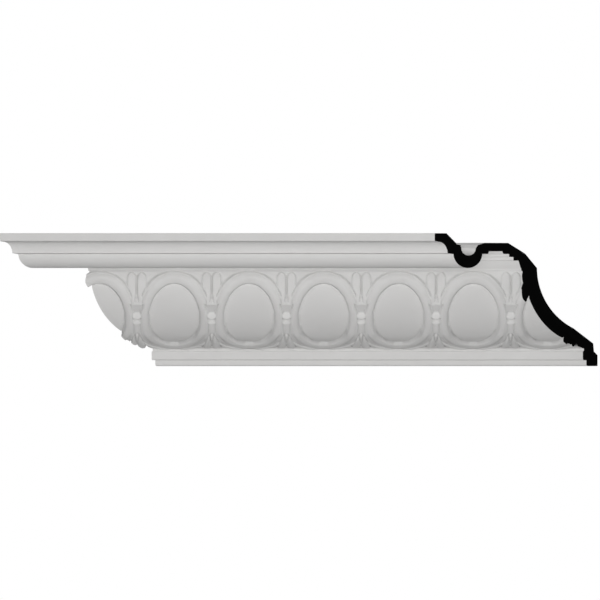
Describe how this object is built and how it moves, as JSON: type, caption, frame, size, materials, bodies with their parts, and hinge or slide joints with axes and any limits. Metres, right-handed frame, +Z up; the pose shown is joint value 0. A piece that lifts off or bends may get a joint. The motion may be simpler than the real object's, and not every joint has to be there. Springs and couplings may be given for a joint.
{
  "type": "egg-and-dart cornice moulding section",
  "caption": "Mitred length of cornice moulding for the corner of a wall and ceiling, with a carved egg-and-dart ovolo, hanging half-round, cavetto nose and plain foot.",
  "frame": {"origin": "middle of the strip of the back that lies against the wall", "axes": "+Z up to the ceiling, +Y into the wall, -Y out into the room, +X along the run to the right as seen from the room"},
  "size_m": [0.815, 0.225, 0.181],
  "materials": {
    "primed_foam": "matt warm-white factory primer on rigid moulded foam; both cut ends painted black"
  },
  "bodies": {
    "root": {"cornice_moulding": "primed_foam"}
  },
  "joints": []
}
